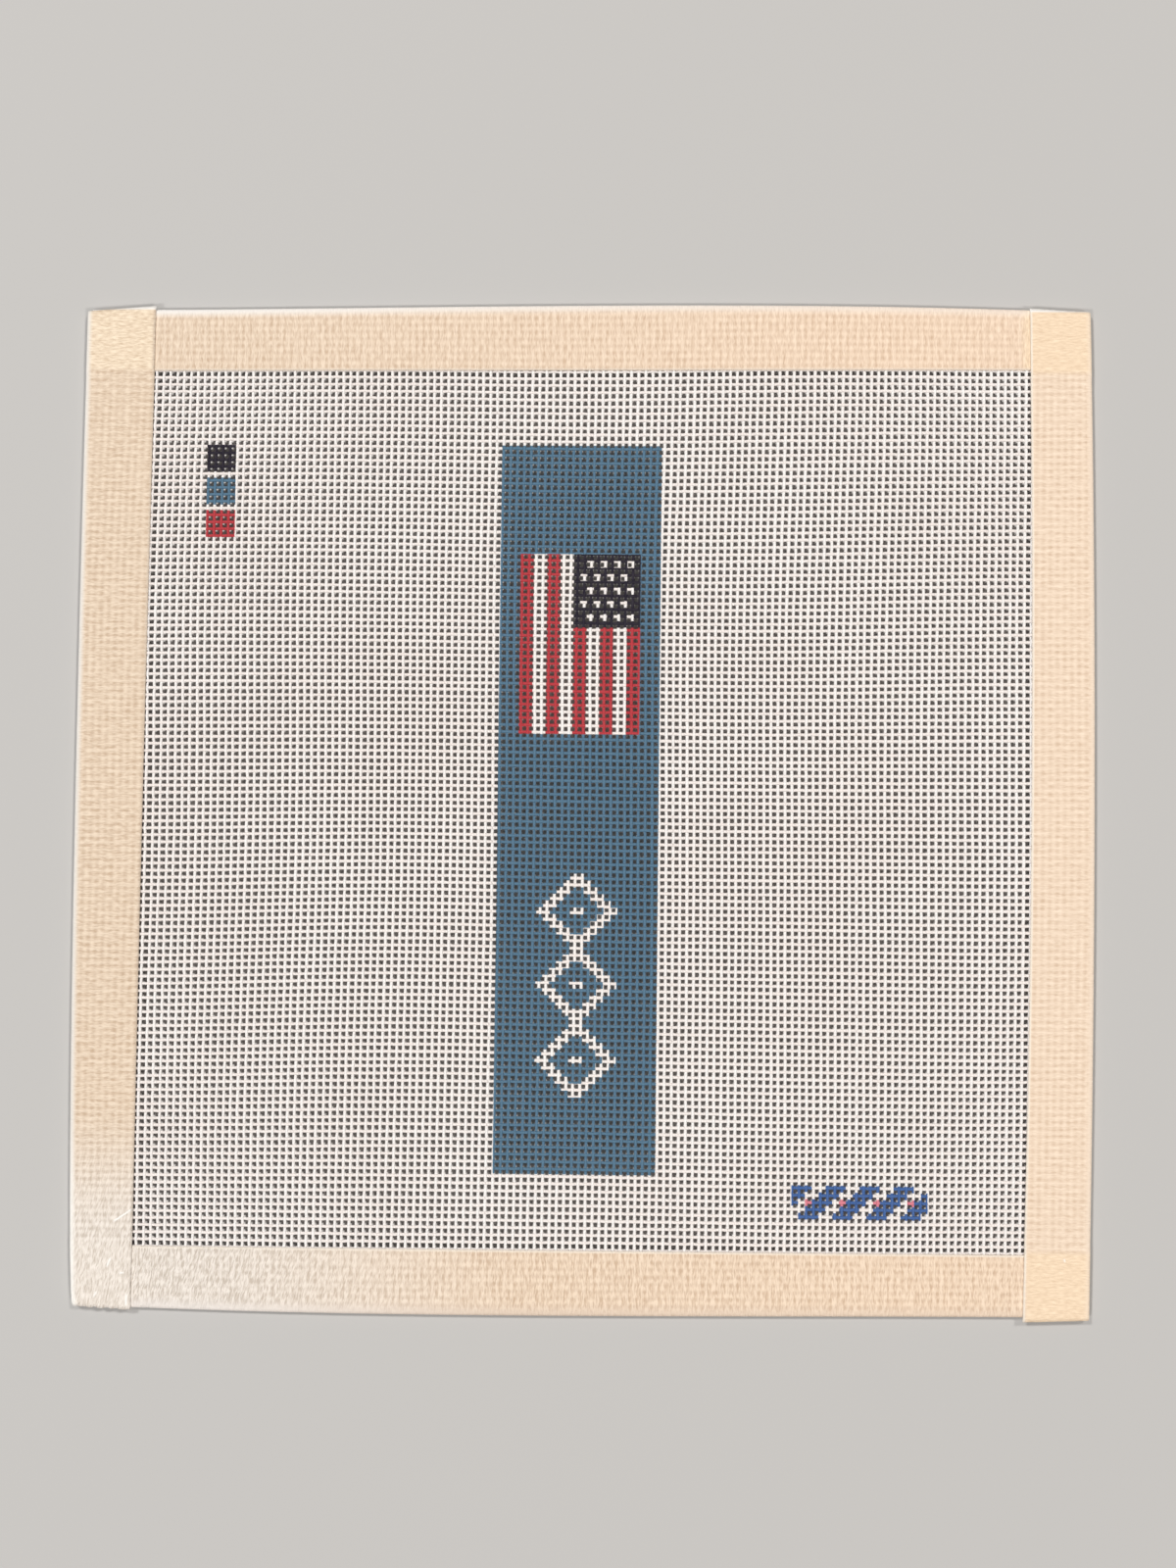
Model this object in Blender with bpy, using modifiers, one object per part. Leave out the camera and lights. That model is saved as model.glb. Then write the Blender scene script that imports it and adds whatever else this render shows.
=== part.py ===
"""Needlepoint canvas panel: a square cut of canvas, its four edges bound with folded tape.

The panel lies flat. +X runs along its top edge, +Y up the panel, +Z up from the surface it lies on,
and the origin is at the bottom centre of its box. All sizes are in metres.
"""

import bmesh
import bpy
from math import cos, pi, sin
from mathutils import Vector

# Driving dimensions of the panel's outline, measured at the outside of the bound edges.
# The corners form a square that narrows a little towards the bottom, and each edge bows out.
TOP_CORNER_X = 0.1014
BOTTOM_CORNER_X = 0.1004
TOP_CORNER_Y = 0.09975
BOTTOM_CORNER_Y = -0.1000

# Cloth and tape.
SHEET = 0.0010          # thickness of the canvas and of each leaf of tape
GAP = 0.0003            # clearance between sheets that lie on each other
TAPE_WIDTH = 0.0254     # the tape is one inch wide before it is folded
FOLD_REACH = 0.0013     # how far the fold's middle surface stands out from its centre line

# Where the side tapes pass over the ends of the top and bottom tapes.
LAP_CLEAR = 0.0008      # they stay high this far past the edge that they cover
LAP_SLOPE = 0.0030      # and come down to the canvas over this length
LAP_END_OUTER = 0.0001  # their ends stand past the corner by this much at the fold
LAP_END_INNER = 0.0007  # and by this much at the inner edge, because they are cut off square
BACK_CUT = 0.0130       # top and bottom tapes have no back leaf this near a corner

# Steps used to draw the folds and the bowed edges.
FOLD_STEPS = 8
EDGE_STEPS = 12

# Heights of the middle of each layer, from the surface up.
BACK_LEAF_Z = SHEET / 2
CANVAS_Z = BACK_LEAF_Z + SHEET + GAP
FRONT_LEAF_Z = CANVAS_Z + SHEET + GAP
LAPPED_LEAF_Z = FRONT_LEAF_Z + SHEET + GAP

# The canvas ends at the fold's centre line.
CANVAS_INSET = FOLD_REACH + SHEET / 2

CORNERS = {
    "top_left": Vector((-TOP_CORNER_X, TOP_CORNER_Y)),
    "top_right": Vector((TOP_CORNER_X, TOP_CORNER_Y)),
    "bottom_right": Vector((BOTTOM_CORNER_X, BOTTOM_CORNER_Y)),
    "bottom_left": Vector((-BOTTOM_CORNER_X, BOTTOM_CORNER_Y)),
}

# One row for each taped edge, going clockwise. "bow" is how far the edge stands out at its middle;
# "inner_start" and "inner_end" are how far in from the corner line the front leaf reaches at the
# two ends, and "inner_bow" how far its inner edge follows the outer one outwards between them.
EDGES = {
    "top": dict(start="top_left", end="top_right", bow=0.00135,
                inner_start=0.0125, inner_end=0.0118, inner_bow=0.0, laps=False),
    "right": dict(start="top_right", end="bottom_right", bow=0.0011,
                  inner_start=0.0120, inner_end=0.0127, inner_bow=0.0011, laps=True),
    "bottom": dict(start="bottom_right", end="bottom_left", bow=0.0011,
                   inner_start=0.0118, inner_end=0.0115, inner_bow=0.0, laps=False),
    "left": dict(start="bottom_left", end="top_left", bow=0.0011,
                 inner_start=0.0117, inner_end=0.0140, inner_bow=0.0, laps=True),
}


def clear_scene():
    for thing in list(bpy.data.objects):
        bpy.data.objects.remove(thing, do_unlink=True)


def make_material(name, colour, roughness):
    """A plain matt finish with the photo's colour."""
    material = bpy.data.materials.new(name)
    material.use_nodes = True
    shader = material.node_tree.nodes["Principled BSDF"]
    shader.inputs["Base Color"].default_value = (*colour, 1.0)
    shader.inputs["Roughness"].default_value = roughness
    shader.inputs["Metallic"].default_value = 0.0
    return material


def add_to_panel(thing, panel, material):
    panel.objects.link(thing)
    thing.data.materials.append(material)


def bow_at(bow, share):
    """How far a bowed line stands out at a share of its length, from 0 at its ends."""
    return 4 * bow * share * (1 - share)


def edge_frame(edge):
    """The corner an edge starts from, its direction, the direction into the panel, its length."""
    start = CORNERS[edge["start"]]
    span = CORNERS[edge["end"]] - start
    along = span.normalized()
    return start, along, Vector((along.y, -along.x)), span.length


def make_canvas(panel, material):
    """The canvas is one flat sheet. Its outline has four bowed sides, each one Bezier span."""
    curve = bpy.data.curves.new("canvas", "CURVE")
    curve.dimensions = "2D"
    curve.fill_mode = "BOTH"
    curve.extrude = SHEET / 2
    curve.resolution_u = EDGE_STEPS
    outline = curve.splines.new("BEZIER")
    outline.bezier_points.add(len(EDGES) - 1)
    outline.use_cyclic_u = True
    names = list(EDGES)
    corner_points = dict(zip(names, outline.bezier_points))

    inset_corners = {}
    for before, name in zip(names[-1:] + names[:-1], names):
        inward = edge_frame(EDGES[name])[2] + edge_frame(EDGES[before])[2]
        inset_corners[name] = CORNERS[EDGES[name]["start"]] + inward * CANVAS_INSET

    for name, after in zip(names, names[1:] + names[:1]):
        start, end = inset_corners[name], inset_corners[after]
        outward = -edge_frame(EDGES[name])[2]
        # Two handles a third of the way in, both set out by 4/3 of the bow, give a parabola.
        lift = outward * EDGES[name]["bow"] * 4 / 3
        first, second = corner_points[name], corner_points[after]
        for point in (first, second):
            point.handle_left_type = point.handle_right_type = "FREE"
        first.co = (*start, 0)
        first.handle_right = (*(start.lerp(end, 1 / 3) + lift), 0)
        second.handle_left = (*(start.lerp(end, 2 / 3) + lift), 0)

    canvas = bpy.data.objects.new("canvas", curve)
    canvas.location.z = CANVAS_Z
    add_to_panel(canvas, panel, material)


def tape_section(front_run, front_z):
    """Places across a folded tape, as distance in from the fold's centre line and height.

    It runs from the front leaf's inner edge, round the fold, to the back leaf's inner edge. The
    back leaf takes what the front leaf and the fold leave of the tape's width.
    """
    half_height = (front_z - BACK_LEAF_Z) / 2
    middle_z = (front_z + BACK_LEAF_Z) / 2
    fold_length = pi * (FOLD_REACH + half_height) / 2
    back_run = TAPE_WIDTH - front_run - fold_length
    turns = [pi * step / FOLD_STEPS for step in range(FOLD_STEPS + 1)]
    fold = [(-FOLD_REACH * sin(turn), middle_z + half_height * cos(turn)) for turn in turns]
    return [(front_run, front_z)] + fold + [(back_run, BACK_LEAF_Z)]


def lapping_stations(edge, length, cover_start, cover_end):
    """Rows along a side tape: distance from its first corner, and height of its front leaf.

    At both ends the front leaf lies on the tape it covers, then it slopes down to the canvas.
    """
    down_start = cover_start + LAP_CLEAR
    down_end = length - cover_end - LAP_CLEAR
    low_start, low_end = down_start + LAP_SLOPE, down_end - LAP_SLOPE
    steps = [low_start + (low_end - low_start) * step / EDGE_STEPS for step in range(EDGE_STEPS + 1)]
    rows = [(0.0, LAPPED_LEAF_Z), (down_start, LAPPED_LEAF_Z)]
    rows += [(place, FRONT_LEAF_Z) for place in steps]
    rows += [(down_end, LAPPED_LEAF_Z), (length, LAPPED_LEAF_Z)]
    return rows


def covered_stations(length):
    """Rows along the top or bottom tape: its ends lie under the side tapes, level throughout."""
    low, high = BACK_CUT, length - BACK_CUT
    steps = [low + (high - low) * step / EDGE_STEPS for step in range(EDGE_STEPS + 1)]
    places = [CANVAS_INSET] + steps + [length - CANVAS_INSET]
    return [(place, FRONT_LEAF_Z) for place in places]


def end_overhang(row, last_row, column, last_column):
    """A side tape's ends stand past the corner, least at the back and most at the front."""
    if row not in (0, last_row):
        return 0.0
    slant = (LAP_END_INNER - LAP_END_OUTER) * (1 - 2 * column / last_column)
    overhang = LAP_END_OUTER + slant
    return -overhang if row == 0 else overhang


def make_tape(name, edge, stations, panel, material):
    """A flat strip of faces, folded over the canvas's edge row by row, then given its thickness."""
    start, along, inward, length = edge_frame(edge)
    last_row = len(stations) - 1
    last_column = FOLD_STEPS + 2

    strip = bmesh.new()
    bmesh.ops.create_grid(strip, x_segments=last_row, y_segments=last_column, size=0.5)
    cells = {}
    for corner in strip.verts:
        row = round((corner.co.x + 0.5) * last_row)
        column = round((corner.co.y + 0.5) * last_column)
        cells[corner] = (row, column)

    for corner, (row, column) in cells.items():
        place, front_z = stations[row]
        share = place / length
        outer = -bow_at(edge["bow"], share)
        inner = edge["inner_start"] + (edge["inner_end"] - edge["inner_start"]) * share
        inner -= bow_at(edge["inner_bow"], share)
        centre_line = outer + CANVAS_INSET
        reach, height = tape_section(inner - centre_line, front_z)[column]
        if edge["laps"]:
            place += end_overhang(row, last_row, column, last_column)
        spot = start + along * place + inward * (centre_line + reach)
        corner.co = (spot.x, spot.y, height)

    if not edge["laps"]:
        # Near the corners only the front leaf and the upper half of the fold are left.
        below = 1 + FOLD_STEPS // 2
        end_rows = ({0, 1}, {last_row - 1, last_row})
        cut_away = [
            face for face in strip.faces
            if {cells[corner][0] for corner in face.verts} in end_rows
            and min(cells[corner][1] for corner in face.verts) >= below
        ]
        bmesh.ops.delete(strip, geom=cut_away, context="FACES")

    bmesh.ops.recalc_face_normals(strip, faces=strip.faces)
    mesh = bpy.data.meshes.new(name)
    strip.to_mesh(mesh)
    strip.free()
    mesh.shade_smooth()

    tape = bpy.data.objects.new(name, mesh)
    add_to_panel(tape, panel, material)
    thickness = tape.modifiers.new("leaf thickness", "SOLIDIFY")
    thickness.thickness = SHEET
    thickness.offset = 0.0
    thickness.use_even_offset = True


def make_panel():
    clear_scene()
    panel = bpy.data.collections.new("needlepoint canvas panel")
    bpy.context.scene.collection.children.link(panel)
    canvas_white = make_material("canvas white", (0.88, 0.85, 0.80), 0.9)
    tape_cream = make_material("tape cream", (0.86, 0.76, 0.63), 0.7)

    make_canvas(panel, canvas_white)
    top, right, bottom, left = (EDGES[name] for name in ("top", "right", "bottom", "left"))
    for name, edge in (("tape_top", top), ("tape_bottom", bottom)):
        make_tape(name, edge, covered_stations(edge_frame(edge)[3]), panel, tape_cream)
    right_rows = lapping_stations(right, edge_frame(right)[3], top["inner_end"], bottom["inner_start"])
    left_rows = lapping_stations(left, edge_frame(left)[3], bottom["inner_end"], top["inner_start"])
    make_tape("tape_right", right, right_rows, panel, tape_cream)
    make_tape("tape_left", left, left_rows, panel, tape_cream)


make_panel()
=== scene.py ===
"""Needlepoint canvas panel: the looks of an open canvas with a printed strip, bound with folded tape.

The panel lies flat with its printed face up. +X is its right, +Y its top, and +Z is up from the
surface it lies on. Sizes are in millimetres, and MM turns them into the frame's metres.
"""

from math import cos, pi, radians, sin

import bpy
import numpy as np
from mathutils import Euler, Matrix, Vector


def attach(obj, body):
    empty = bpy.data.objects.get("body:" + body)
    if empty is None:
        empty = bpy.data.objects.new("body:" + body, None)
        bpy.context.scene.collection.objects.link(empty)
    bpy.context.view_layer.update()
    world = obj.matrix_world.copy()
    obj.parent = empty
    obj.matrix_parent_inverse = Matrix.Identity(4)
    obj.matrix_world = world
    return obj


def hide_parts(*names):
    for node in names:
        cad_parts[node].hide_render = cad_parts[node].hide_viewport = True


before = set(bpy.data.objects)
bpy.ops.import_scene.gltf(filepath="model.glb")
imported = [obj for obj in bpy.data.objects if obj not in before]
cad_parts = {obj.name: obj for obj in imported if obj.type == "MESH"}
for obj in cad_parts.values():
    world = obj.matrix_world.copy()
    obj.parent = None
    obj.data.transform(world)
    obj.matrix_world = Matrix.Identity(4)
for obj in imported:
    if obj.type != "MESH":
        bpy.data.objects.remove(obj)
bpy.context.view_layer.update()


# ---- The canvas threads -------------------------------------------------------------------------
# Mono canvas is woven from stiffened cotton yarn, 18 threads to the inch. Each upright thread (the
# warp) passes over one level thread (the weft) and under the next, and the size glues them there.

MM = 0.001
WARP_PITCH = 1.4111          # 18 threads to the inch
WEFT_PITCH = 1.4021          # the wefts lie a little closer
WARPS, WEFTS = 130, 129      # they reach past the inner edges of the tapes, front and back
FIRST_WARP_X = -91.70
FIRST_WEFT_Y = -89.24
THREAD_WIDTH = 0.60
SWELL = 0.04                 # they are this share wider at the right side, and thinner at the left
THREAD_HEIGHT = 0.36         # the yarns are pressed into each other where they cross
THREAD_SIDES = 6
SHOULDER = 0.68              # its flat top takes up this share of its width
WEAVE_Z = 0.90               # the middle of the weave, above the surface that the panel lies on
CRIMP = 0.08                 # how far each thread rises and dips from there
CROWN = 0.2                  # a thread is level this share of a pitch to both sides of a crossing
LEAN = 0.0051                # the cloth was pulled this much out of square
HALF_PANEL = 90.0            # the waves of the uneven pull are drawn over this half size
WARP_MAP, WEFT_MAP = 0, 2    # where the yarn's own map starts for each
STRAY, STRAY_WAVES = 0.05, 14     # how far a thread wanders sideways, and how often along it
SLIP = 0.018                      # how far it has slipped besides, at each crossing
UNEVEN, UNEVEN_WAVES = 0.06, 30   # the share that its width varies by, and how often along it
OWN_WIDTH = 0.04                  # the share that the threads' widths differ by
SEED = 18

chance = np.random.default_rng(SEED)


def soft_noise(rows, columns, row_waves, column_waves):
    """A grid of smooth random values from -1 to 1, with so many waves each way."""
    knots = chance.uniform(-1, 1, (row_waves + 2, column_waves + 2))

    def between(count, waves):
        place = np.linspace(0, waves, count)
        low = np.floor(place).astype(int)
        part = place - low
        return low, part * part * (3 - 2 * part)

    row, row_part = between(rows, row_waves)
    column, column_part = between(columns, column_waves)
    rows_mixed = knots[row] * (1 - row_part)[:, None] + knots[row + 1] * row_part[:, None]
    return rows_mixed[:, column] * (1 - column_part) + rows_mixed[:, column + 1] * column_part


# The pull is a sum of long waves. Each row has a size in mm, then the wave across and the wave up
# the panel, with the number of half turns that it makes on each side of the middle.
PULL_ACROSS = [
    (-0.45, np.sin, 1.5, np.cos, 0.5),
    (-0.21, np.sin, 1.0, np.cos, 1.0),
    (0.20, np.sin, 0.5, np.sin, 0.5),
    (0.16, np.sin, 2.0, np.cos, 0.5),
    (-0.12, np.cos, 0.0, np.sin, 1.5),
    (-0.11, np.sin, 1.0, np.sin, 1.0),
    (0.10, np.cos, 0.0, np.cos, 2.0),
    (-0.08, np.cos, 0.5, np.cos, 1.5),
    (0.07, np.sin, 2.0, np.cos, 1.5),
    (-0.07, np.cos, 1.0, np.sin, 0.5),
    (-0.07, np.sin, 0.5, np.cos, 1.0),
    (-0.07, np.cos, 0.5, np.sin, 1.0),
    (-0.04, np.sin, 0.5, np.cos, 2.0),
    (0.03, np.cos, 1.0, np.cos, 0.0),
]
PULL_UP = [
    (-0.35, np.cos, 1.0, np.sin, 1.0),
    (-0.31, np.sin, 1.0, np.cos, 0.5),
    (-0.29, np.cos, 0.0, np.sin, 1.5),
    (0.20, np.sin, 0.5, np.cos, 0.0),
    (0.14, np.cos, 0.0, np.sin, 2.0),
    (0.11, np.cos, 0.5, np.cos, 1.0),
    (-0.10, np.sin, 1.5, np.cos, 0.5),
    (0.09, np.cos, 2.0, np.sin, 1.5),
    (0.09, np.sin, 1.0, np.cos, 1.5),
    (-0.09, np.sin, 0.5, np.cos, 1.0),
    (-0.05, np.cos, 2.0, np.cos, 0.0),
    (0.04, np.sin, 1.0, np.sin, 0.5),
    (0.03, np.cos, 0.0, np.cos, 2.0),
    (0.02, np.cos, 1.0, np.sin, 2.0),
]


def pull(x, y):
    """How far the uneven pull of the cloth has moved a point of the even weave."""
    u, v = pi * x / HALF_PANEL, pi * y / HALF_PANEL

    def waves(rows):
        return sum(size * across(turns * u) * up(up_turns * v)
                   for size, across, turns, up, up_turns in rows)

    return waves(PULL_ACROSS) + LEAN * y, waves(PULL_UP)


def crossings():
    """Where the threads cross, as [warp, weft, xy]."""
    warp, weft = np.meshgrid(np.arange(WARPS), np.arange(WEFTS), indexing="ij")
    x = FIRST_WARP_X + WARP_PITCH * warp
    y = FIRST_WEFT_Y + WEFT_PITCH * weft
    across, up = pull(x, y)
    return np.stack([x + across, y + up], axis=-1)


def thread_count(x, y):
    """Which warp and which weft lie at a place on the panel, with the part of a pitch between.

    The pull is undone in four rounds, each of which comes closer to the place in the even weave.
    """
    even_x, even_y = x, y
    for _ in range(4):
        across, up = pull(even_x, even_y)
        even_x, even_y = x - across, y - up
    return (even_x - FIRST_WARP_X) / WARP_PITCH, (even_y - FIRST_WEFT_Y) / WEFT_PITCH


def uneven_threads(threads, spots, across):
    """How far each thread strays sideways, and how wide it is, at each crossing."""
    stray = STRAY * soft_noise(threads, spots, threads - 1, STRAY_WAVES)
    stray += chance.normal(0, SLIP, (threads, spots))
    width = 1 + UNEVEN * soft_noise(threads, spots, threads - 1, UNEVEN_WAVES)
    width += OWN_WIDTH * chance.uniform(-1, 1, (threads, 1)) + SWELL * across / HALF_PANEL
    return stray, THREAD_WIDTH * width


# OVER is 1 where the warp passes over the weft, and -1 where it passes under.
CROSSINGS = crossings()
WARP_STRAY, WARP_WIDTH = uneven_threads(WARPS, WEFTS, CROSSINGS[..., 0])
WEFT_STRAY, WEFT_WIDTH = uneven_threads(WEFTS, WARPS, CROSSINGS[..., 0].T)
OVER = np.where(np.add.outer(np.arange(WARPS), np.arange(WEFTS)) % 2, 1, -1)


def thread_rings(spots, stray, widths, heights, first, last):
    """The rings of a set of threads: centre, level direction across, width, height and place along.

    spots is [thread, crossing, xy]. Each thread has two rings at each crossing, and runs from the
    place "first" to the place "last", which are counted in crossings.
    """
    count = spots.shape[1]
    places = np.sort(np.concatenate([np.arange(count) - CROWN, np.arange(count) + CROWN]))
    places = places[(places > first) & (places < last)]
    places = np.concatenate([[first], places, [last]])
    nearest = np.clip(np.rint(places).astype(int), 0, count - 1)
    step = np.gradient(spots, axis=1)
    offset = (places - nearest)[None, :, None]
    centres = spots[:, nearest] + step[:, nearest] * offset
    along = step[:, nearest] / np.linalg.norm(step[:, nearest], axis=-1, keepdims=True)
    across = np.stack([along[..., 1], -along[..., 0]], axis=-1)
    centres = centres + across * stray[:, nearest, None]
    return centres, across, widths[:, nearest], heights[:, nearest], places


def tubes(rings, which):
    """Points, quads and end caps of closed six-sided tubes, with the yarn's own map for each quad.

    The map runs once round a thread from WARP_MAP or WEFT_MAP, and along it in millimetres.
    """
    centres, across, widths, heights, places = rings
    threads, length = widths.shape
    aside = np.array([1, SHOULDER, -SHOULDER, -1, -SHOULDER, SHOULDER])
    above = np.array([0, 1, 1, 0, -1, -1])
    points = np.empty((threads, length, THREAD_SIDES, 3))
    half_width = widths[..., None, None] / 2
    points[..., :2] = centres[:, :, None] + across[:, :, None] * half_width * aside[:, None]
    points[..., 2] = heights[..., None] + THREAD_HEIGHT / 2 * above

    index = np.arange(threads * length * THREAD_SIDES).reshape(threads, length, THREAD_SIDES)
    beside = np.roll(index, -1, axis=2)
    quads = np.stack([index[:, :-1], index[:, 1:], beside[:, 1:], beside[:, :-1]], axis=-1).reshape(-1, 4)
    caps = np.concatenate([index[:, 0], index[:, -1, ::-1]])

    round_it = which + np.arange(THREAD_SIDES) / THREAD_SIDES
    along_it = places * WARP_PITCH
    shape = (threads, length - 1, THREAD_SIDES)
    low = np.broadcast_to(along_it[None, :-1, None], shape)
    high = np.broadcast_to(along_it[None, 1:, None], shape)
    near = np.broadcast_to(round_it, shape)
    far = near + 1 / THREAD_SIDES
    corners = (near, low), (near, high), (far, high), (far, low)
    yarn = np.stack([np.stack(corner, axis=-1) for corner in corners], axis=3)
    return points.reshape(-1, 3), quads, caps, yarn.reshape(-1, 4, 2)


# ---- The print ----------------------------------------------------------------------------------
# The design is printed in ink on the white canvas: one flat colour for each small square of the
# stitch chart. The ink soaks into the threads from above, and hardly reaches their underside.

CELL = 1.3417                # one square of the chart
STRIP_LEFT = -17.0           # the strip's left edge, at the panel's middle height
STRIP_LEAN = 0.0028          # the print leans over by this much, less than the cloth does
STRIP_TOP = 72.3
STRIP_COLUMNS, STRIP_ROWS = 24, 108.5
FLAG_TOP = 50.3              # the flag hangs upright: nine stripes, and the star field top right
FLAG_LEFT = 3                # this and the flag's other sizes are in squares
FLAG_COLUMNS, FLAG_ROWS = 18, 27
STRIPE = 2
FIELD_LEFT, FIELD_ROWS = 8, 11
CHAIN_TOP = -13.8            # a chain of three open lozenges hangs down the strip's middle
LINKS, LINK_ROWS = 3, 11
LINK_REACH = 6               # squares from a lozenge's middle to its points
KEY_LEFT, KEY_WIDTH, KEY_HEIGHT = -76.5, 5.87, 5.5
KEY_TOPS = (72.2, 65.5, 58.9)         # the colour key beside the strip: navy, blue and red
BORDER_LEFT, BORDER_TOP = 41.9, -74.8  # a short twisted-rope border in the lower right corner
BORDER_COLUMNS, BORDER_ROWS = 20, 5
ROPE_STEP, ROPE_STRAND = 5, 3         # squares from strand to strand, and across a strand

INK_BLUE = (0.086, 0.176, 0.266)
INK_NAVY = (0.016, 0.012, 0.024)
INK_RED = (0.470, 0.040, 0.052)
INK_DEEP_BLUE = (0.055, 0.128, 0.345)
INK_PINK = (0.710, 0.220, 0.280)
CREEP = 0.16                 # the ink's edges stray over this width
WARP_COTTON = (0.905, 0.875, 0.860), (0.895, 0.850, 0.830)   # at its whitest and at its creamiest
# The weft's colours are darker than the warp's by painted shade, for the wefts lying in the warps'
# shadow.
WEFT_COTTON_IN_SHADE = (0.880, 0.820, 0.790), (0.860, 0.790, 0.755)
PLIES, TWIST = 2, 1.6        # the yarn's plies, and how often they come round in a millimetre


def plain_material(name, roughness):
    """A new material with nodes, and its shader."""
    material = bpy.data.materials.new(name)
    material.use_nodes = True
    shader = material.node_tree.nodes["Principled BSDF"]
    shader.inputs["Roughness"].default_value = roughness
    return material, shader


def fill(material, socket, value):
    """Gives a socket another node's output, or a value of its own."""
    if isinstance(value, bpy.types.NodeSocket):
        material.node_tree.links.new(value, socket)
    else:
        socket.default_value = value


def node(material, kind, inputs, **settings):
    """A shader node with its settings and its named inputs."""
    made = material.node_tree.nodes.new("ShaderNode" + kind)
    for name, value in settings.items():
        setattr(made, name, value)
    for name, value in inputs.items():
        fill(material, made.inputs[name], value)
    return made


def maths(material, operation, *values):
    """One step of arithmetic on the values."""
    made = node(material, "Math", {}, operation=operation)
    for socket, value in zip(made.inputs, values):
        fill(material, socket, value)
    return made.outputs[0]


def product(material, *values):
    """All the values multiplied together."""
    total = values[0]
    for value in values[1:]:
        total = maths(material, "MULTIPLY", total, value)
    return total


def colours(material, share, first, second):
    """The first colour turning into the second one as share goes from 0 to 1."""
    made = material.node_tree.nodes.new("ShaderNodeMix")
    made.data_type = "RGBA"
    fill(material, made.inputs[0], share)
    for socket, value in ((made.inputs[6], first), (made.inputs[7], second)):
        fill(material, socket, value if isinstance(value, bpy.types.NodeSocket) else (*value, 1.0))
    return made.outputs[2]


def inside(material, value, low, high):
    """1 where the value is between low and high, and 0 elsewhere."""
    above = maths(material, "GREATER_THAN", value, low)
    return product(material, above, maths(material, "LESS_THAN", value, high))


def block(material, column, row, columns, rows):
    """1 within a block of the chart, counted from the block's own top left corner."""
    return product(material, inside(material, column, 0, columns), inside(material, row, 0, rows))


def without(material, share, taken):
    """What is left of a share where another is taken out of it."""
    return maths(material, "MULTIPLY", share, maths(material, "SUBTRACT", 1.0, taken))


def chart_places(material):
    """Millimetres across and up the panel, a little ragged, as ink creeps along the fibres."""
    where = node(material, "TexCoord", {}).outputs["Object"]
    creep = node(material, "TexNoise", {"Vector": where, "Scale": 2600.0, "Detail": 1.0})
    middle = (0.5, 0.5, 0.5)
    shift = node(material, "VectorMath", {0: creep.outputs["Color"], 1: middle}, operation="SUBTRACT")
    small = node(material, "VectorMath", {0: shift.outputs[0], "Scale": CREEP * MM}, operation="SCALE")
    moved = node(material, "VectorMath", {0: where, 1: small.outputs[0]}, operation="ADD")
    split = node(material, "SeparateXYZ", {0: moved.outputs[0]})
    return [maths(material, "DIVIDE", split.outputs[axis], MM) for axis in (0, 1)]


def flag_masks(material, column, row):
    """Where the flag is, where it is red, where it is navy and where a star leaves it white."""
    flag_row = maths(material, "SUBTRACT", row, (STRIP_TOP - FLAG_TOP) / CELL)
    flag_column = maths(material, "SUBTRACT", column, FLAG_LEFT)
    flag = block(material, flag_column, flag_row, FLAG_COLUMNS, FLAG_ROWS)
    phase = maths(material, "FLOORED_MODULO", flag_column, 2 * STRIPE)
    stripe = maths(material, "LESS_THAN", phase, STRIPE)
    field_side = maths(material, "GREATER_THAN", flag_column, FIELD_LEFT)
    field = product(material, flag, field_side, maths(material, "LESS_THAN", flag_row, FIELD_ROWS))

    # A star is one square, on every second row, set over by one square from row to row, and never
    # in the field's first or last column.
    star_column = maths(material, "FLOOR", maths(material, "SUBTRACT", flag_column, FIELD_LEFT))
    star_row = maths(material, "FLOOR", flag_row)
    odd_row = maths(material, "FLOORED_MODULO", star_row, 2)
    half_row = maths(material, "MULTIPLY", maths(material, "SUBTRACT", star_row, 1), 0.5)
    set_over = maths(material, "FLOORED_MODULO", maths(material, "ADD", star_column, half_row), 2)
    even = maths(material, "LESS_THAN", set_over, 0.5)
    inner = inside(material, star_column, 0.5, FLAG_COLUMNS - FIELD_LEFT - 1.5)
    star = product(material, field, odd_row, even, inner)
    return flag, product(material, flag, stripe), field, star


def chain_mask(material, column, row):
    """The stepped lozenges of the chain: outlines two squares thick, each with a small heart."""
    down = maths(material, "SUBTRACT", row, (STRIP_TOP - CHAIN_TOP) / CELL)
    chain = inside(material, down, 0, LINKS * LINK_ROWS)
    link_row = maths(material, "FLOORED_MODULO", maths(material, "FLOOR", down), LINK_ROWS)
    up = maths(material, "ABSOLUTE", maths(material, "SUBTRACT", link_row, (LINK_ROWS - 1) / 2))
    half_column = maths(material, "SUBTRACT", maths(material, "FLOOR", column), (STRIP_COLUMNS - 1) / 2)
    aside = maths(material, "CEIL", maths(material, "ABSOLUTE", half_column))
    far = maths(material, "ADD", aside, up)
    outline = inside(material, far, LINK_REACH - 1.5, LINK_REACH + 0.5)
    heart = maths(material, "LESS_THAN", far, 1.5)
    return product(material, chain, maths(material, "MAXIMUM", outline, heart))


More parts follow.
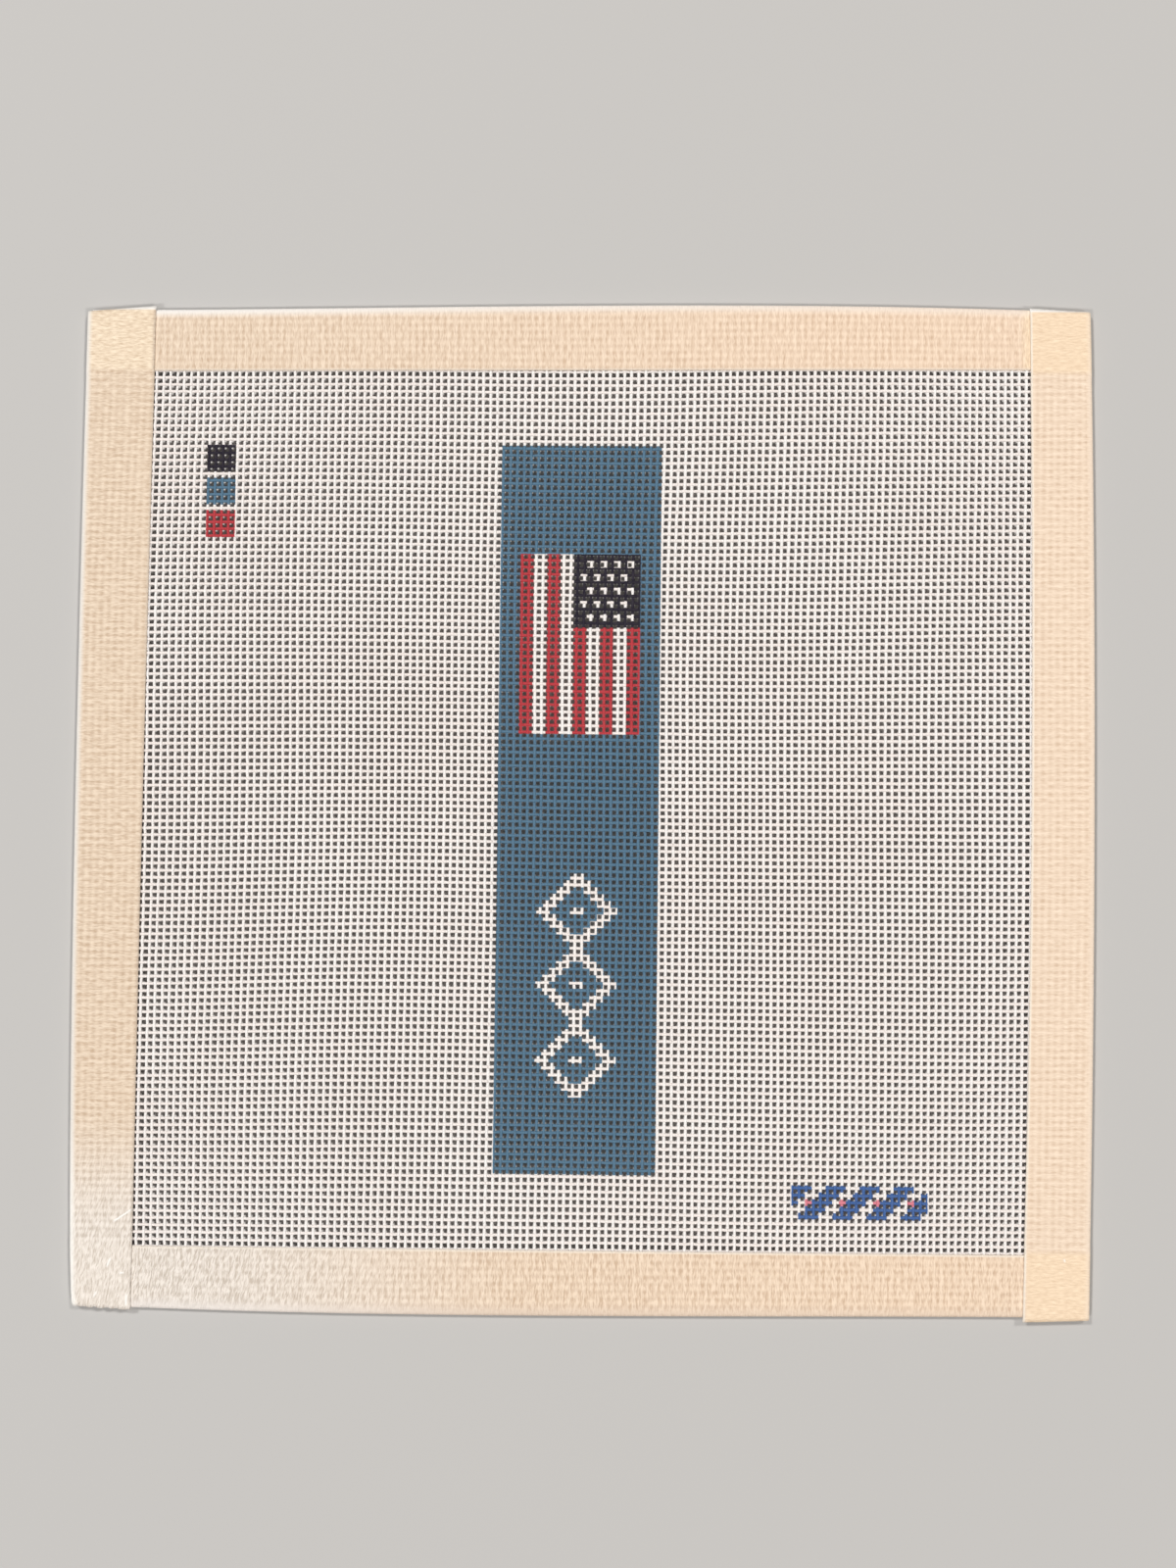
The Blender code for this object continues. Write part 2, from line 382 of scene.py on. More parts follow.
def rope_border(material, x, y):
    """Slanting strands like a twisted rope, and a small square in each gap between them."""
    column = maths(material, "DIVIDE", maths(material, "SUBTRACT", x, BORDER_LEFT), CELL)
    row = maths(material, "DIVIDE", maths(material, "SUBTRACT", BORDER_TOP, y), CELL)
    place = block(material, column, row, BORDER_COLUMNS, BORDER_ROWS)
    whole_row = maths(material, "FLOOR", row)
    slant = maths(material, "ADD", maths(material, "FLOOR", column), whole_row)
    turn = maths(material, "FLOORED_MODULO", slant, ROPE_STEP)
    strand = product(material, place, maths(material, "LESS_THAN", turn, ROPE_STRAND - 0.5))
    middle = inside(material, whole_row, 1.5, 2.5)
    knot = product(material, place, middle, maths(material, "GREATER_THAN", turn, ROPE_STRAND + 0.5))
    return strand, knot


def printed_canvas():
    """White cotton yarn with the ink on it."""
    material, shader = plain_material("printed cotton canvas", 0.78)
    shader.inputs["Specular IOR Level"].default_value = 0.2
    x, y = chart_places(material)
    leaning_left = maths(material, "MULTIPLY_ADD", y, STRIP_LEAN, STRIP_LEFT)
    column = maths(material, "DIVIDE", maths(material, "SUBTRACT", x, leaning_left), CELL)
    row = maths(material, "DIVIDE", maths(material, "SUBTRACT", STRIP_TOP, y), CELL)

    ink = block(material, column, row, STRIP_COLUMNS, STRIP_ROWS)
    flag, red, field, star = flag_masks(material, column, row)
    colour = colours(material, red, INK_BLUE, INK_RED)
    colour = colours(material, field, colour, INK_NAVY)
    white = without(material, without(material, flag, red), field)
    ink = without(material, without(material, ink, white), star)
    ink = without(material, ink, chain_mask(material, column, row))

    in_key = inside(material, x, KEY_LEFT, KEY_LEFT + KEY_WIDTH)
    for top, key_colour in zip(KEY_TOPS, (INK_NAVY, INK_BLUE, INK_RED)):
        square = product(material, in_key, inside(material, y, top - KEY_HEIGHT, top))
        colour = colours(material, square, colour, key_colour)
        ink = maths(material, "MAXIMUM", ink, square)

    strand, knot = rope_border(material, x, y)
    colour = colours(material, strand, colour, INK_DEEP_BLUE)
    colour = colours(material, knot, colour, INK_PINK)
    ink = maths(material, "MAXIMUM", ink, maths(material, "MAXIMUM", strand, knot))

    # The ink takes a little unevenly, and hardly reaches the underside.
    where = node(material, "TexCoord", {}).outputs["Object"]
    normal = node(material, "NewGeometry", {}).outputs["Normal"]
    facing = node(material, "SeparateXYZ", {0: normal}).outputs[2]
    reached = node(material, "MapRange", {"Value": facing, "From Min": -0.5, "From Max": 0.1,
                                          "To Min": 0.35, "To Max": 1.0})
    grain = node(material, "TexNoise", {"Vector": where, "Scale": 900.0, "Detail": 3.0})
    patchy = node(material, "MapRange", {"Value": grain.outputs[0], "From Min": 0.3, "From Max": 0.7,
                                         "To Min": 0.98, "To Max": 1.0})
    ink = product(material, ink, reached.outputs[0], patchy.outputs[0])

    # The weft is painted darker and creamier than the warp: painted shade, for the wefts lying in the
    # warps' shadow. The size leaves both a shade creamier from patch to patch.
    yarn = node(material, "UVMap", {}, uv_map="yarn").outputs[0]
    split = node(material, "SeparateXYZ", {0: yarn})
    is_weft = maths(material, "GREATER_THAN", split.outputs[0], (1 + WEFT_MAP) / 2)
    cloud = node(material, "TexNoise", {"Vector": where, "Scale": 28.0, "Detail": 2.0})
    cloudy = node(material, "MapRange", {"Value": cloud.outputs[0], "From Min": 0.35, "From Max": 0.65})
    whitest, creamiest = [colours(material, is_weft, *pair) for pair in zip(WARP_COTTON, WEFT_COTTON_IN_SHADE)]
    cotton = colours(material, cloudy.outputs[0], whitest, creamiest)

    # The plies of the twisted yarn, drawn on its own map, with painted shade in the grooves between them.
    round_yarn, along_yarn = split.outputs[0], split.outputs[1]
    turned = maths(material, "MULTIPLY_ADD", along_yarn, TWIST, product(material, round_yarn, PLIES))
    twist = maths(material, "PINGPONG", turned, 0.5)
    fibres = node(material, "TexNoise", {"Vector": where, "Scale": 9000.0, "Detail": 1.0})
    ply = maths(material, "MULTIPLY_ADD", fibres.outputs[0], 0.5, twist)
    between = node(material, "MapRange", {"Value": ply, "From Min": 0.15, "From Max": 0.55,
                                          "To Min": 0.22, "To Max": 0.0})
    inked = colours(material, ink, cotton, colour)
    shadow = colours(material, 0.7, inked, (0.0, 0.0, 0.0))
    fill(material, shader.inputs["Base Color"], colours(material, between.outputs[0], inked, shadow))
    bump = node(material, "Bump", {"Height": ply, "Strength": 0.5, "Distance": 0.09 * MM})
    fill(material, shader.inputs["Normal"], bump.outputs[0])
    return material


PRINTED_CANVAS = printed_canvas()


# ---- The canvas, in five bands ------------------------------------------------------------------
# It is one cut of cloth, too fine for a single mesh, so it is woven in upright bands side by side.
# A weft is parted where it crosses the next band's first warp. The margins lie inside the tapes.

BANDS = 5
WARPS_IN_BAND = WARPS // BANDS
CUT_X, CUT_Y = 99.3, 98.9    # half the size of the cut cloth
MARGIN_HEIGHT = 0.6
BAKE_EDGE = 0.01             # the bake layouts keep this far from the edge of their square


def slab(left, right, bottom, top):
    """A plain closed piece of the margin, which shows nowhere."""
    corners = [(x, y, WEAVE_Z + side * MARGIN_HEIGHT / 2)
               for side in (-1, 1) for y in (bottom, top) for x in (left, right)]
    faces = np.array([(0, 2, 3, 1), (4, 5, 7, 6), (0, 1, 5, 4), (1, 3, 7, 5), (3, 2, 6, 7), (2, 0, 4, 6)])
    return np.array(corners), faces, np.empty((0, THREAD_SIDES), int), np.zeros((len(faces), 4, 2))


def bake_map(points, faces):
    """A flat layout for each corner: faces that look up in the left half, the others in the right."""
    corners = points[faces]
    edges = corners[:, 1] - corners[:, 0], corners[:, 2] - corners[:, 0]
    up = np.cross(*edges)[:, 2] > 0
    low, high = points[:, :2].min(axis=0), points[:, :2].max(axis=0)
    flat = BAKE_EDGE + (1 - 2 * BAKE_EDGE) * (corners[..., :2] - low) / (high - low)
    flat[..., 0] = flat[..., 0] / 2 + np.where(up, 0.0, 0.5)[:, None]
    return flat, up


def band_mesh(name, parts):
    """The parts joined into one mesh, with the bake layout and the yarn's own map."""
    starts = np.cumsum([0] + [len(points) for points, *_ in parts])
    points = np.concatenate([points for points, *_ in parts])
    quads = np.concatenate([start + part[1] for start, part in zip(starts, parts)])
    caps = np.concatenate([start + part[2] for start, part in zip(starts, parts)])
    yarn = np.concatenate([part[3] for part in parts])

    # What lies on top comes last, so that it is what a flat bake keeps.
    flat, up = bake_map(points, quads)
    middle = points[quads][..., 2].mean(axis=1)
    order = np.argsort(np.where(up, middle, -middle), kind="stable")
    quads, yarn, flat = quads[order], yarn[order], flat[order]

    mesh = bpy.data.meshes.new(name)
    mesh.from_pydata((points * MM).tolist(), [], caps.tolist() + quads.tolist())
    mesh.polygons.foreach_set("use_smooth", np.arange(len(mesh.polygons)) >= len(caps))
    cap_corners = np.zeros((caps.size, 2))
    for layer_name, corners in (("OFBake", flat), ("yarn", yarn)):
        layer = mesh.uv_layers.new(name=layer_name)
        values = np.concatenate([cap_corners, corners.reshape(-1, 2)])
        layer.data.foreach_set("uv", values.astype(np.float32).ravel())
    mesh.materials.append(PRINTED_CANVAS)
    mesh.validate()
    return mesh


def weave_band(number):
    """One band of the canvas: its warps, its stretch of the wefts and its share of the margin."""
    first, last = number * WARPS_IN_BAND, (number + 1) * WARPS_IN_BAND
    at_left, at_right = number == 0, number == BANDS - 1
    warp_spots, weft_spots = CROSSINGS[first:last], CROSSINGS.transpose(1, 0, 2)
    warps = thread_rings(warp_spots, WARP_STRAY[first:last], WARP_WIDTH[first:last],
                         WEAVE_Z + CRIMP * OVER[first:last], -0.5, WEFTS - 0.5)
    wefts = thread_rings(weft_spots, WEFT_STRAY, WEFT_WIDTH, WEAVE_Z - CRIMP * OVER.T,
                         -0.5 if at_left else first, last - 0.5 if at_right else last)

    left = -CUT_X if at_left else FIRST_WARP_X + WARP_PITCH * (first - 0.5)
    right = CUT_X if at_right else FIRST_WARP_X + WARP_PITCH * (last - 0.5)
    weave_bottom = FIRST_WEFT_Y - WEFT_PITCH
    weave_top = FIRST_WEFT_Y + WEFT_PITCH * WEFTS
    parts = [tubes(warps, WARP_MAP), tubes(wefts, WEFT_MAP),
             slab(left, right, -CUT_Y, weave_bottom), slab(left, right, weave_top, CUT_Y)]
    if at_left:
        parts.append(slab(left, FIRST_WARP_X - WARP_PITCH, weave_bottom, weave_top))
    if at_right:
        parts.append(slab(FIRST_WARP_X + WARP_PITCH * WARPS, right, weave_bottom, weave_top))

    mesh = band_mesh(f"canvas_band_{number + 1}", parts)
    band = bpy.data.objects.new(mesh.name, mesh)
    bpy.context.scene.collection.objects.link(band)
    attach(band, "root")
    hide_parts("canvas")


for band_number in range(BANDS):
    weave_band(band_number)


# ---- The binding tapes --------------------------------------------------------------------------
# Four strips of one-inch crepe paper tape, folded in half over the edges and stuck down front and
# back. Top and bottom go on first. The side tapes go over their ends, and are cut or torn off there.

TAPE_WIDTH = 24.0            # nominal one-inch paper tape is sold 24 mm wide
TAPE = 0.12                  # thickness of the paper with its adhesive
FOLD_REACH = 0.74            # from the fold's centre line out to the middle of the paper
CORNERS = {
    "top_left": np.array((-101.4, 99.75)),
    "top_right": np.array((101.4, 99.75)),
    "bottom_right": np.array((100.4, -100.0)),
    "bottom_left": np.array((-100.4, -100.0)),
}

# One row for each tape, clockwise. "bow" is how far its fold stands out from the line between the
# corners, "peak" where along it does so, and "fullness" how broadly. "leaf" is how far in from that
# line the front leaf reaches at the start, the middle and the end. "ends" is how far the tape's two
# ends stand past the corners, or short of them below 0, each given at the fold and at the inner
# edge, and "torn" is how ragged each end is. "ridges" is how strong its crepe is, and "shows" how
# much of the weave shows through. "paper" is its colour at the panel's left and right sides; the
# change between them is painted light, greyer at the left and warmer and brighter at the right.
# "rim" is the colour of the painted highlight on its fold (painted shade on the bottom tape's fold),
# then that where the tape is dry, and the pair after "paper" is how strongly that painted light is
# laid on and how far from the fold's middle. "edge" is how strong the painted highlight along its
# inner edge is. "creases" are short and sharp, each given by its middle, its angle and its length,
# and carry a painted highlight. A tape that "laps" goes over the ends of those that don't.
TAPES = {
    "top": dict(start="top_left", end="top_right", bow=1.36, peak=0.65, fullness=2.6,
                leaf=(12.63, 12.13, 11.75), ends=((-1.1, -1.1), (-1.1, -1.1)), laps=False,
                torn=(0.0, 0.0), ridges=1.2, shows=0.85, rim=((0.87, 0.86, 0.85), (0.87, 0.86, 0.85)),
                paper=((0.810, 0.669, 0.530), (0.896, 0.713, 0.556)),
                fold_lighting=(0.85, 2.6), edge=0.4, creases=[]),
    "bottom": dict(start="bottom_right", end="bottom_left", bow=1.12, peak=0.66, fullness=2.6,
                   leaf=(12.18, 11.88, 11.74), ends=((-1.1, -1.1), (-1.1, -1.1)), laps=False,
                   torn=(0.0, 0.0), ridges=1.8, shows=0.88, rim=((0.69, 0.56, 0.46), (0.80, 0.74, 0.70)),
                   paper=((0.810, 0.669, 0.530), (0.883, 0.708, 0.549)),
                   fold_lighting=(0.9, 3.4), edge=0.7, creases=[]),
    "right": dict(start="top_right", end="bottom_right", bow=1.00, peak=0.47, fullness=2.0,
                  leaf=(12.3, 11.62, 13.2), ends=((-0.1, 0.65), (0.3, 0.8)), laps=True,
                  torn=(0.05, 0.03), ridges=0.9, shows=0.78, rim=((0.95, 0.84, 0.73), (0.95, 0.84, 0.73)),
                  paper=((0.810, 0.669, 0.530), (0.893, 0.735, 0.587)),
                  fold_lighting=(0.8, 1.9), edge=0.8, creases=[(95.4, -88.7, 108, 1.2)]),
    "left": dict(start="bottom_left", end="top_left", bow=1.17, peak=0.333, fullness=1.5,
                 leaf=(11.75, 12.65, 14.1), ends=((0.0, 0.74), (-0.5, 0.5)), laps=True,
                 torn=(0.2, 0.0), ridges=1.25, shows=0.98, rim=((0.81, 0.79, 0.76), (0.96, 0.94, 0.90)),
                 paper=((0.800, 0.662, 0.522), (0.893, 0.735, 0.587)),
                 fold_lighting=(0.85, 1.9), edge=0.15,
                 creases=[(-90.6, -82.3, 34, 4.9), (-93.1, -91.4, 68, 2.6), (-90.5, -93.5, 8, 1.6),
                          (-95.7, -97.7, 64, 1.8), (-89.5, -98.7, 88, 3.0)]),
}
ROWS = 270                   # faces along a tape, and across its two leaves and its fold
FRONT_COLUMNS, FOLD_COLUMNS, BACK_COLUMNS = 20, 8, 8

LEAF_Z = 1.235               # middle of the front leaf where it lies on the weave
LEAF_RISE = 0.15             # it is this much higher at the fold
BACK_Z = 0.565               # middle of the back leaf under the weave
BACK_DROP = 0.33             # it comes down by this much, and by another lap, at the fold
LAP = 0.135                  # a tape keeps this far from another one that it lies on
INNER_LINE, FOLD_LINE = 88.0, 100.5   # where the leaves' inner edges and folds are, about
LAP_FOOT, LAP_HEAD = 85.6, 87.1       # where a side tape starts to rise and where it is up
CREASE = 0.05                # height of the crepe's larger creases
END_DROP = 0.25              # the side tapes' top ends hang over the top fold by this much
OVER_FOLD = 99.3             # and start to bend down there
OVER_RUN = 1.2               # they bend over this length
END_SHARE = 0.03             # the slant of an end fades out over this share of the tape

# Tape on tape; its change from left to right is painted light, as with each tape's paper.
DOUBLED_PAPER = (0.880, 0.741, 0.574), (0.930, 0.748, 0.552)   # tape on tape, at the left and the right
# The crepe's dull marks are partly painted shade in its furrows.
DULL_AND_SHADED = (0.70, 0.625, 0.56)      # what its dull marks leave of the paper's colour
DRY_PAPER = (0.570, 0.505, 0.440), (0.850, 0.790, 0.735)       # dry tape at its dullest and its palest
# Painted highlight along the tapes' inner edges.
EDGE_HIGHLIGHT = (0.94, 0.85, 0.74)
# Painted highlight on the sharp creases.
CREASE_HIGHLIGHT = (1.0, 0.97, 0.93)
# Painted highlight on the side tapes' ends that bend down over the top fold.
END_HIGHLIGHT = (0.95, 0.93, 0.90)
DRY_SLANT = 78               # the slant of the wrinkles where the tape is dry, in degrees
DRY_DOWN, DRY_LEFT = (-58.0, -88.0), (-5.0, -80.0)       # where the tape gets drier
DOUBLED_X, DOUBLED_Y = (87.0, 88.6), (86.6, 88.0)        # where it comes to lie on another one
SIDE_TO_SIDE = (-110.0, 110.0)
SHOW_END = -0.6              # the weave shows as far as this from the start of the fold
FOLD_MIDDLE = 1.15           # and the fold's outermost line is this far past it


def soft_step(value, low, high):
    """From 0 at low to 1 at high, level at both."""
    share = np.clip((value - low) / (high - low), 0, 1)
    return share * share * (3 - 2 * share)


def stand_out(tape, share):
    """How far the bowed fold stands out at a share of the edge's length."""
    share = np.clip(share, 0, 1)
    before, after = tape["fullness"] * tape["peak"], tape["fullness"] * (1 - tape["peak"])
    curve = (share / tape["peak"]) ** before * ((1 - share) / (1 - tape["peak"])) ** after
    return tape["bow"] * curve


def leaf_reach(tape, share):
    """How far in the front leaf reaches: a smooth line through its three given widths."""
    start, middle, end = tape["leaf"]
    return start + share * (4 * middle - 3 * start - end) + share * share * 2 * (start + end - 2 * middle)


def nearness(x, y):
    """0 along the leaves' inner edges and 1 at the folds, by whichever edge is nearer."""
    outermost = np.maximum(np.abs(x), np.abs(y))
    return np.clip((outermost - INNER_LINE) / (FOLD_LINE - INNER_LINE), 0, 1)


def front_height(tape, x, y):
    """The middle of the front leaf, which rises towards the fold and over the ends of other tapes."""
    height = LEAF_Z + LEAF_RISE * nearness(x, y)
    if tape["laps"]:
        height = height + LAP * soft_step(np.abs(y), LAP_FOOT, LAP_HEAD)
        height = height - END_DROP * soft_step(y, OVER_FOLD, OVER_FOLD + OVER_RUN)
    return height


def back_height(tape, x, y):
    """The middle of the back leaf, which comes down towards the fold and under other tapes."""
    near = nearness(x, y)
    if tape["laps"]:
        below = np.maximum(near, soft_step(np.abs(y), LAP_FOOT, LAP_HEAD))
    else:
        below = near * (1 - soft_step(np.abs(x), LAP_FOOT, LAP_HEAD))
    return BACK_Z - BACK_DROP * near - LAP * below


def middle_surface(tape):
    """The middle of the folded paper as [row, column, xyz], and each point's place on the flat tape.

    That is given in mm: along the tape, past the start of its fold, and in from its front edge.
    """
    start = CORNERS[tape["start"]]
    span = CORNERS[tape["end"]] - start
    length = np.linalg.norm(span)
    along = span / length
    inward = np.array((along[1], -along[0]))

    place = np.linspace(0, length, ROWS + 1)[:, None]
    share = place / length
    fold_line = FOLD_REACH + TAPE / 2 - stand_out(tape, share)
    front_run = leaf_reach(tape, share) - fold_line

    def at(place, distance):
        spot = start + place[..., None] * along + distance[..., None] * inward
        return spot[..., 0], spot[..., 1]

    top_z = front_height(tape, *at(place, fold_line))
    low_z = back_height(tape, *at(place, fold_line))
    half = (top_z - low_z) / 2
    turn = pi * np.arange(1, FOLD_COLUMNS) / FOLD_COLUMNS
    fold_run = pi * (FOLD_REACH + half) / 2
    back_run = TAPE_WIDTH - front_run - fold_run

    out = np.linspace(1, 0, FRONT_COLUMNS + 1)
    back = np.linspace(0, 1, BACK_COLUMNS + 1)
    fold = np.broadcast_to(-FOLD_REACH * np.sin(turn), (ROWS + 1, FOLD_COLUMNS - 1))
    in_from_fold = np.concatenate([front_run * out, fold, back_run * back], axis=1)
    turned = fold_run * turn / pi
    past_fold = np.concatenate([-front_run * out, turned, fold_run + back_run * back], axis=1)

    # The ends: a slanting line, drawn in at the fold, and torn or cut.
    depth = np.abs(in_from_fold) / TAPE_WIDTH * 2
    torn_shape = np.array(tape["torn"])[:, None] * chance.uniform(-1, 1, (2, in_from_fold.shape[1]))
    place = np.repeat(place, in_from_fold.shape[1], axis=1)
    for end, row, sign in ((0, 0, -1), (1, -1, 1)):
        at_fold, at_inner = tape["ends"][end]
        reach = at_fold + (at_inner - at_fold) * depth[row] + torn_shape[end]
        fade = (1 - share[:, 0]) if sign < 0 else share[:, 0]
        fade = np.clip((fade - (1 - END_SHARE)) / END_SHARE, 0, 1)
        place += sign * fade[:, None] * reach

    distance = fold_line + in_from_fold
    x, y = at(place, distance)
    front, bottom = front_height(tape, x, y), back_height(tape, x, y)
    fold_z = (top_z + low_z) / 2 + half * np.cos(turn)
    z = np.concatenate([front[:, :FRONT_COLUMNS + 1], fold_z, bottom[:, -BACK_COLUMNS - 1:]], axis=1)

    creases = 0.6 * soft_noise(ROWS + 1, z.shape[1], 110, 5)
    creases += 0.4 * soft_noise(ROWS + 1, z.shape[1], 60, 3)
    lift = CREASE / 2 * (1 + creases)
    if not tape["laps"]:
        lift = lift * (1 - soft_step(np.abs(x), LAP_FOOT, LAP_HEAD))
    lift[:, FRONT_COLUMNS + 1:] = 0
    flat_place = np.stack([place, past_fold, past_fold + front_run], axis=-1)
    return np.stack([x, y, z + lift], axis=-1), flat_place


def paper_shell(surface):
    """Outer and inner side of the paper, half its thickness from its middle."""
    row_step, column_step = np.gradient(surface, axis=0), np.gradient(surface, axis=1)
    facing = np.cross(row_step, column_step)
    facing /= np.linalg.norm(facing, axis=-1, keepdims=True)
    if facing[ROWS // 2, 0, 2] < 0:
        facing = -facing
    return surface + facing * TAPE / 2, surface - facing * TAPE / 2


def ramp(material, value, low, high):
    """From 0 at low to 1 at high, level at both. It runs down the other way where high is less."""
    return node(material, "MapRange", {"Value": value, "From Min": low, "From Max": high},
                interpolation_type="SMOOTHSTEP").outputs[0]


def mapped(material, layer):
    """The two values that one of the tape's maps holds."""
    split = node(material, "SeparateXYZ", {0: node(material, "UVMap", {}, uv_map=layer).outputs[0]})
    return split.outputs[0], split.outputs[1]


def flat_noise(material, first, second, scale):
    """Noise either side of 0 over two lengths."""
    spot = node(material, "CombineXYZ", {0: first, 1: second})
    noise = node(material, "TexNoise", {"Vector": spot.outputs[0], "Scale": scale, "Detail": 2.0})
    return maths(material, "SUBTRACT", noise.outputs[0], 0.5)


def ridges(material, across, along, flat):
    """Crepe: broad and fine noise, both drawn out along the ridges, which wander a little."""
    wandering = maths(material, "MULTIPLY_ADD", flat_noise(material, *flat, 0.5), 0.5, across)
    broad = flat_noise(material, wandering, product(material, along, 0.16), 1.5)
    fine = flat_noise(material, wandering, product(material, along, 0.19), 3.6)
    return maths(material, "MULTIPLY_ADD", broad, 0.35, product(material, fine, 0.95))


def crepe_ridges(material, tape, x, y, flat, dry, doubled, rightward):
    """The ridges run straight across the tape, and on the slant where it is dry."""
    slant = radians(DRY_SLANT)
    over_slant = maths(material, "MULTIPLY_ADD", x, sin(slant), product(material, y, -cos(slant)))
    up_slant = maths(material, "MULTIPLY_ADD", x, cos(slant), product(material, y, sin(slant)))
    straight = product(material, ridges(material, *flat, flat), tape["ridges"],
                       maths(material, "MULTIPLY_ADD", rightward, -0.25, 1.1),
                       maths(material, "MULTIPLY_ADD", doubled, 0.15, 1.0))
    slanting = product(material, ridges(material, over_slant, up_slant, flat), 1.5 * tape["ridges"])
    return maths(material, "MULTIPLY_ADD", straight, maths(material, "SUBTRACT", 1.0, dry),
                 product(material, slanting, dry))


def weave_below(material, tape, flat, dry, doubled):
    """How the weave shows through the front leaf, but not where a tape lies on another.

    Threads that run across the tape are pale lines, those along it fainter ones, and the holes are
    dull marks between them.
    """
    place, past_fold = flat

    def patches(scale, start):
        shifted = maths(material, "ADD", place, start)
        cloud = ramp(material, flat_noise(material, shifted, past_fold, scale), -0.2, 0.2)
        return maths(material, "MULTIPLY_ADD", cloud, 0.7, 0.3)

    counts = mapped(material, "weave")
    across_it, along_it = [maths(material, "COSINE", maths(material, "MULTIPLY", count, 2 * pi))
                           for count in (reversed(counts) if tape["laps"] else counts)]
    both = maths(material, "MULTIPLY_ADD", across_it, 0.6, product(material, along_it, 0.4))
    hole = ramp(material, both, 0.1, -0.9)
    lines = maths(material, "MULTIPLY_ADD", product(material, across_it, patches(0.22, 0.0)), 0.38,
                  product(material, along_it, patches(0.17, 50.0), 0.26))
    weave = maths(material, "SUBTRACT", lines, product(material, hole, patches(0.12, 20.0), 0.5))
    front = maths(material, "LESS_THAN", past_fold, SHOW_END)
    return product(material, without(material, weave, doubled), front, tape["shows"],
                   maths(material, "MULTIPLY_ADD", dry, -0.15, 1.0))


def sharp_creases(material, tape, x, y):
    """1 along the tape's short sharp creases, and 0 elsewhere."""
    creased = 0.0
    for crease_x, crease_y, angle, length in tape["creases"]:
        from_middle = [maths(material, "SUBTRACT", *pair) for pair in ((x, crease_x), (y, crease_y))]
        turned = [product(material, away, turn) for away in from_middle
                  for turn in (cos(radians(angle)), sin(radians(angle)))]
        along = maths(material, "ABSOLUTE", maths(material, "ADD", turned[0], turned[3]))
        aside = maths(material, "ABSOLUTE", maths(material, "SUBTRACT", turned[2], turned[1]))
        mark = product(material, ramp(material, aside, 0.32, 0.05),
                       ramp(material, along, length / 2, length / 2 - 0.8))
        creased = maths(material, "MAXIMUM", creased, mark)
    return creased


def crepe_tape(name, tape):
    """Cream crepe paper: fine ridges across the tape, and the weave below showing through."""
    material, shader = plain_material(name + " crepe tape", 0.6)
    shader.inputs["Specular IOR Level"].default_value = 0.3
    where = node(material, "SeparateXYZ", {0: node(material, "TexCoord", {}).outputs["Object"]})
    x, y = [maths(material, "DIVIDE", where.outputs[axis], MM) for axis in (0, 1)]
    flat = mapped(material, "tape")
    past_fold = flat[1]
    from_edge = mapped(material, "leaf")[0]

    # The tape towards the lower left corner is drier: greyer, and wrinkled on the slant.
    dry = product(material, ramp(material, y, *DRY_DOWN), ramp(material, x, *DRY_LEFT))
    doubled = product(material, ramp(material, maths(material, "ABSOLUTE", x), *DOUBLED_X),
                      ramp(material, maths(material, "ABSOLUTE", y), *DOUBLED_Y))
    rightward = ramp(material, x, *SIDE_TO_SIDE)
    crepe = crepe_ridges(material, tape, x, y, flat, dry, doubled, rightward)
    weave = weave_below(material, tape, flat, dry, doubled)
    creased = sharp_creases(material, tape, x, y)

    # The crepe's tone is partly painted shade in its furrows and painted light on its ridges.
    tone = maths(material, "MULTIPLY_ADD", weave, 0.55, 0.62)
    tone = maths(material, "MULTIPLY_ADD", crepe, 1.7, tone)
    # The paper's change from left to right is painted light: greyer at the left, warmer and brighter at
    # the right.
    pale = colours(material, rightward, *tape["paper"])
    pale = colours(material, doubled, pale, colours(material, rightward, *DOUBLED_PAPER))
    dull = node(material, "VectorMath", {0: pale, 1: DULL_AND_SHADED}, operation="MULTIPLY").outputs[0]
    colour = colours(material, tone, dull, pale)
    colour = colours(material, product(material, dry, 0.9), colour, colours(material, tone, *DRY_PAPER))

    # The fold carries a painted highlight, strongest at the left, and on the bottom tape painted shade.
    # The inner edge, which lies clear of the cloth, carries a painted highlight too, and so do the sharp
    # creases and the end that hangs over the top fold.
    strength, reach = tape["fold_lighting"]
    from_fold = maths(material, "ABSOLUTE", maths(material, "SUBTRACT", past_fold, FOLD_MIDDLE))
    fold_lighting = product(material, ramp(material, from_fold, reach, 0.65), strength,
                     maths(material, "MULTIPLY_ADD", rightward, -0.6, 1.0))
    colour = colours(material, fold_lighting, colour, colours(material, dry, *tape["rim"]))
    lit_edge = product(material, ramp(material, from_edge, 0.55, 0.2), tape["edge"])
    colour = colours(material, lit_edge, colour, EDGE_HIGHLIGHT)
    colour = colours(material, product(material, creased, 0.9), colour, CREASE_HIGHLIGHT)
    if tape["laps"]:
        over_top = ramp(material, y, OVER_FOLD + 0.1, OVER_FOLD + 0.6)
        colour = colours(material, product(material, over_top, 0.9), colour, END_HIGHLIGHT)
    fill(material, shader.inputs["Base Color"], colour)

    relief = maths(material, "MULTIPLY_ADD", weave, 0.35, maths(material, "ADD", crepe, creased))
    bump = node(material, "Bump", {"Height": relief, "Strength": 0.7, "Distance": 0.16 * MM})
    fill(material, shader.inputs["Normal"], bump.outputs[0])
    return material


